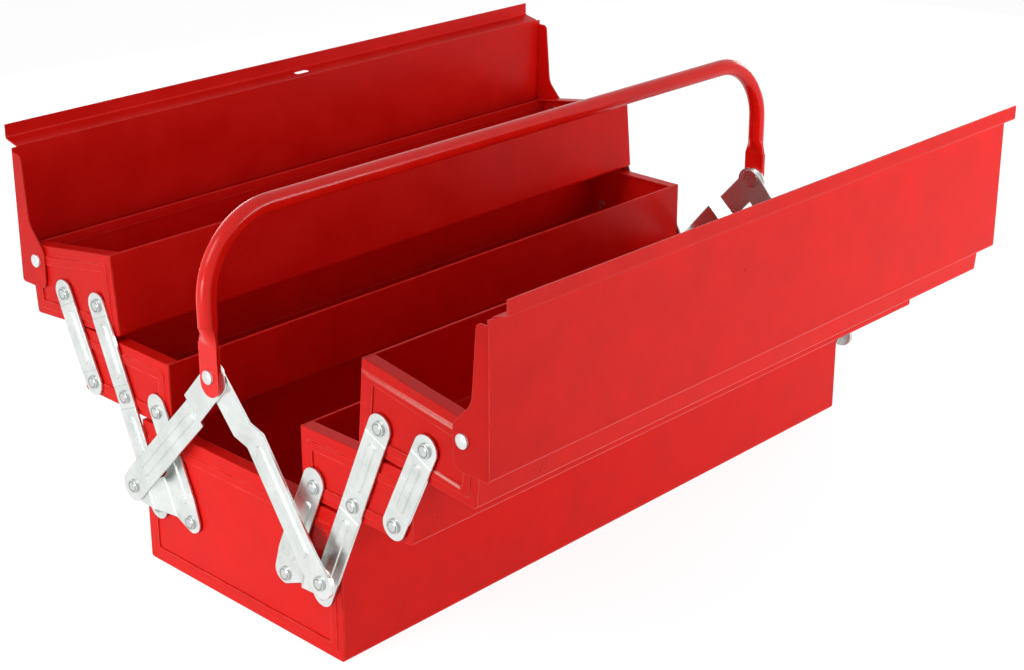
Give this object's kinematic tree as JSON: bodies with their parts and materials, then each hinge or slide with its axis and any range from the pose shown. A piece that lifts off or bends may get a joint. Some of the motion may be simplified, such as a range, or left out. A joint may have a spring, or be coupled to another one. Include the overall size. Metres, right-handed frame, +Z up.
{
  "type": "cantilever tool box",
  "caption": "Open cantilever tool box of painted sheet steel: a bottom box, linked trays that fold out on both sides, hinged lids and a lifting tube handle.",
  "frame": {"origin": "centre of the bottom box's underside", "axes": "+X along the box and its handle, +Y to its left side, +Z up"},
  "size_m": [0.5738, 0.4827, 0.2818],
  "materials": {
    "red_enamel": "gloss enamel on sheet steel",
    "zinc_plate": "bright zinc plate on pressed steel",
    "rivet_steel": "plain steel rivets"
  },
  "bodies": {
    "root": {"box_body": "red_enamel", "box_end_front": "red_enamel", "box_end_rear": "red_enamel", "box_rivets": "rivet_steel"},
    "handle": {"handle_tube": "red_enamel", "handle_rivets": "rivet_steel"},
    "right_crank": {"right_crank_front": "zinc_plate", "right_crank_rear": "zinc_plate", "right_crank_rivets": "rivet_steel"},
    "right_lower_tray": {"right_lower_tray_body": "red_enamel", "right_lower_tray_end_front": "red_enamel", "right_lower_tray_end_rear": "red_enamel", "right_lower_tray_rivets": "rivet_steel"},
    "right_outer_link": {"right_outer_link_front": "zinc_plate", "right_outer_link_rear": "zinc_plate"},
    "right_long_arm": {"right_long_arm_front": "zinc_plate", "right_long_arm_rear": "zinc_plate"},
    "right_upper_tray": {"right_upper_tray_body": "red_enamel", "right_upper_tray_end_front": "red_enamel", "right_upper_tray_end_rear": "red_enamel", "right_upper_tray_rivets": "rivet_steel"},
    "right_lid": {"right_lid": "red_enamel"},
    "right_handle_arm": {"right_handle_arm_front": "zinc_plate", "right_handle_arm_rear": "zinc_plate"},
    "left_crank": {"left_crank_front": "zinc_plate", "left_crank_rear": "zinc_plate", "left_crank_rivets": "rivet_steel"},
    "left_lower_tray": {"left_lower_tray_body": "red_enamel", "left_lower_tray_end_front": "red_enamel", "left_lower_tray_end_rear": "red_enamel", "left_lower_tray_rivets": "rivet_steel"},
    "left_outer_link": {"left_outer_link_front": "zinc_plate", "left_outer_link_rear": "zinc_plate"},
    "left_long_arm": {"left_long_arm_front": "zinc_plate", "left_long_arm_rear": "zinc_plate"},
    "left_upper_tray": {"left_upper_tray_body": "red_enamel", "left_upper_tray_end_front": "red_enamel", "left_upper_tray_end_rear": "red_enamel", "left_upper_tray_rivets": "rivet_steel"},
    "left_lid": {"left_lid": "red_enamel"},
    "left_handle_arm": {"left_handle_arm_front": "zinc_plate", "left_handle_arm_rear": "zinc_plate"}
  },
  "joints": [
    {"name": "right_long_arm_fold", "type": "hinge", "parent": "root", "child": "right_long_arm", "pos_m": [0, -0.0844, 0.0452], "axis": [-1, 0, 0], "range_deg": [0, 49.98]},
    {"name": "right_upper_tray_pivot", "type": "hinge", "parent": "right_long_arm", "child": "right_upper_tray", "pos_m": [0, -0.14036, 0.17574], "axis": [1, 0, 0], "range_deg": [0, 44.99]},
    {"name": "right_crank_pivot", "type": "hinge", "parent": "root", "child": "right_crank", "pos_m": [0, -0.0489, 0.0452], "axis": [-1, 0, 0], "range_deg": [0, 49.98]},
    {"name": "right_lower_tray_pivot", "type": "hinge", "parent": "right_crank", "child": "right_lower_tray", "pos_m": [0, -0.07942, 0.1164], "axis": [1, 0, 0], "range_deg": [0, 49.98]},
    {"name": "right_outer_link_pivot", "type": "hinge", "parent": "right_lower_tray", "child": "right_outer_link", "pos_m": [0, -0.15122, 0.1164], "axis": [-1, 0, 0], "range_deg": [0, 49.78]},
    {"name": "right_handle_arm_pivot", "type": "hinge", "parent": "right_crank", "child": "right_handle_arm", "pos_m": [0, -0.09517, 0.06051], "axis": [1, 0, 0], "range_deg": [0, 63.83]},
    {"name": "right_lid_hinge", "type": "hinge", "parent": "right_upper_tray", "child": "right_lid", "pos_m": [0, -0.20942, 0.19078], "axis": [-1, 0, 0], "range_deg": [0, 85]},
    {"name": "left_long_arm_fold", "type": "hinge", "parent": "root", "child": "left_long_arm", "pos_m": [0, 0.0844, 0.0452], "axis": [1, 0, 0], "range_deg": [0, 49.98]},
    {"name": "left_upper_tray_pivot", "type": "hinge", "parent": "left_long_arm", "child": "left_upper_tray", "pos_m": [0, 0.14036, 0.17574], "axis": [-1, 0, 0], "range_deg": [0, 44.99]},
    {"name": "left_crank_pivot", "type": "hinge", "parent": "root", "child": "left_crank", "pos_m": [0, 0.0489, 0.0452], "axis": [1, 0, 0], "range_deg": [0, 49.98]},
    {"name": "left_lower_tray_pivot", "type": "hinge", "parent": "left_crank", "child": "left_lower_tray", "pos_m": [0, 0.07942, 0.1164], "axis": [-1, 0, 0], "range_deg": [0, 49.98]},
    {"name": "left_outer_link_pivot", "type": "hinge", "parent": "left_lower_tray", "child": "left_outer_link", "pos_m": [0, 0.15122, 0.1164], "axis": [1, 0, 0], "range_deg": [0, 49.78]},
    {"name": "left_handle_arm_pivot", "type": "hinge", "parent": "left_crank", "child": "left_handle_arm", "pos_m": [0, 0.09517, 0.06051], "axis": [-1, 0, 0], "range_deg": [0, 63.83]},
    {"name": "left_lid_hinge", "type": "hinge", "parent": "left_upper_tray", "child": "left_lid", "pos_m": [0, 0.20942, 0.19078], "axis": [1, 0, 0], "range_deg": [0, 85]},
    {"name": "handle_lift", "type": "slide", "parent": "root", "child": "handle", "axis": [0, 0, 1], "range_m": [0, 0.05042]}
  ],
  "couplings": [
    {"joint": "right_upper_tray_pivot", "follows": "right_long_arm_fold", "ratio": 0.9},
    {"joint": "right_crank_pivot", "follows": "right_long_arm_fold", "ratio": 1},
    {"joint": "right_lower_tray_pivot", "follows": "right_long_arm_fold", "ratio": 1},
    {"joint": "right_outer_link_pivot", "follows": "right_long_arm_fold", "ratio": 0.9958},
    {"joint": "right_handle_arm_pivot", "follows": "right_long_arm_fold", "ratio": 1.2771},
    {"joint": "left_long_arm_fold", "follows": "right_long_arm_fold", "ratio": 1},
    {"joint": "left_upper_tray_pivot", "follows": "right_long_arm_fold", "ratio": 0.9},
    {"joint": "left_crank_pivot", "follows": "right_long_arm_fold", "ratio": 1},
    {"joint": "left_lower_tray_pivot", "follows": "right_long_arm_fold", "ratio": 1},
    {"joint": "left_outer_link_pivot", "follows": "right_long_arm_fold", "ratio": 0.9958},
    {"joint": "left_handle_arm_pivot", "follows": "right_long_arm_fold", "ratio": 1.2771},
    {"joint": "handle_lift", "follows": "right_long_arm_fold", "m_per_rad": 0.05779}
  ]
}
